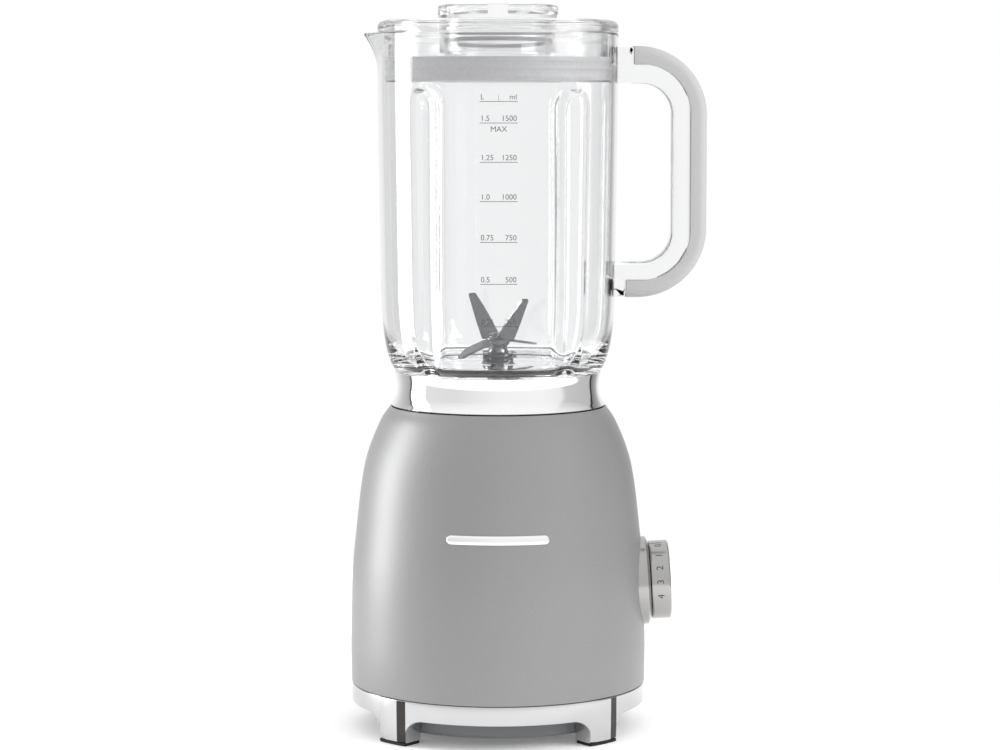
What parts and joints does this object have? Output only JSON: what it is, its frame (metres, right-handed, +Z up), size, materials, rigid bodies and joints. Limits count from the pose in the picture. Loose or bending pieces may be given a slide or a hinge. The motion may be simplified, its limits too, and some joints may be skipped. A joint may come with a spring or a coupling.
{
  "type": "countertop blender",
  "caption": "Countertop blender with a clear jug on a domed metal motor base; jug, lid, filler cap, speed knob and blades move.",
  "frame": {"origin": "on the motor axis, in the plane that the rubber feet stand on", "axes": "+Z up along the motor axis, +X towards the handle and the speed knob, -X towards the spout, -Y towards the front with the badge bar"},
  "size_m": [0.1961, 0.1636, 0.3986],
  "materials": {
    "housing_paint": "fine satin metallic paint over a die-cast housing",
    "chrome_trim": "bright mirror plating",
    "satin_metal": "satin, fine turned lines",
    "clear_plastic": "clear, polished",
    "grip_grey": "soft-touch, fine grain",
    "seal_grey": "soft silicone",
    "black_plastic": "fine moulded grain",
    "grey_plastic": "fine moulded grain",
    "black_rubber": "matte",
    "blade_steel": "ground faces, bright edges",
    "screw_steel": "zinc plated",
    "cast_metal": "as cast",
    "lamination_steel": "stacked sheets",
    "copper_wire": "enamelled wire",
    "carbon": "pressed carbon",
    "circuit_board": "coated board",
    "bearing_bronze": "sintered"
  },
  "bodies": {
    "base": {"body_shell": "housing_paint", "badge_bar": "chrome_trim", "foot_ring": "chrome_trim", "foot_pads": "black_rubber", "base_screws": "screw_steel", "bottom_plate": "grey_plastic", "cord_gland": "black_rubber", "lower_bearing": "screw_steel", "upper_bearing": "screw_steel", "lower_bracket": "cast_metal", "upper_bracket": "cast_metal", "stator_core": "lamination_steel", "field_coils": "copper_wire", "motor_bolts": "screw_steel", "motor_screws": "screw_steel", "motor_dampers": "black_rubber", "brush_holders": "black_plastic", "carbon_brushes": "carbon", "brush_springs": "screw_steel", "control_board": "circuit_board", "switch_body": "black_plastic", "jug_seat": "black_plastic", "interlock_switch": "black_plastic", "knob_flange": "satin_metal"},
    "rotor": {"motor_shaft": "screw_steel", "rotor_core": "lamination_steel", "armature_winding": "copper_wire", "commutator": "copper_wire", "cooling_fan": "grey_plastic", "drive_coupling": "black_plastic"},
    "knob": {"knob": "satin_metal", "knob_spindle": "screw_steel"},
    "interlock": {"interlock_plunger": "grey_plastic"},
    "jug": {"jug_body": "clear_plastic", "handle_grip": "grip_grey", "collar": "chrome_trim", "locking_ring": "black_plastic", "jug_gasket": "seal_grey", "blade_base": "blade_steel", "bearing_bushes": "bearing_bronze", "shaft_seal": "black_rubber"},
    "blades": {"blade_shaft": "blade_steel", "blade_spacer": "blade_steel", "lower_blade": "blade_steel", "upper_blade": "blade_steel", "blade_nut": "blade_steel", "driven_coupling": "black_plastic"},
    "lid": {"lid": "clear_plastic", "lid_seal": "seal_grey"},
    "cap_ring": {"cap_seal": "seal_grey"},
    "cap": {"filler_cap": "clear_plastic"}
  },
  "joints": [
    {"name": "jug_lift", "type": "slide", "parent": "base", "child": "jug", "axis": [0, 0, 1], "range_m": [0, 0.06]},
    {"name": "lid_lift", "type": "slide", "parent": "jug", "child": "lid", "axis": [0, 0, 1], "range_m": [0, 0.05]},
    {"name": "cap_lift", "type": "slide", "parent": "lid", "child": "cap_ring", "axis": [0, 0, 1], "range_m": [0, 0.035]},
    {"name": "cap_turn", "type": "hinge", "parent": "cap_ring", "child": "cap", "pos_m": [0, 0, 0.385], "axis": [0, 0, 1], "range_deg": [0, 45]},
    {"name": "knob_turn", "type": "hinge", "parent": "base", "child": "knob", "pos_m": [0.0806, 0, 0.0804], "axis": [-0.9986, 0, -0.0523], "range_deg": [-22, 88]},
    {"name": "rotor_spin", "type": "hinge", "parent": "base", "child": "rotor", "pos_m": [0, 0, 0.1], "axis": [0, 0, 1], "continuous": true},
    {"name": "blade_spin", "type": "hinge", "parent": "jug", "child": "blades", "pos_m": [0, 0, 0.2], "axis": [0, 0, 1], "continuous": true},
    {"name": "interlock_travel", "type": "slide", "parent": "base", "child": "interlock", "axis": [0, 0, 1], "range_m": [0, 0.0024]}
  ],
  "couplings": [
    {"joint": "blade_spin", "follows": "rotor_spin", "ratio": 1},
    {"joint": "interlock_travel", "follows": "jug_lift", "ratio": 0.04}
  ]
}
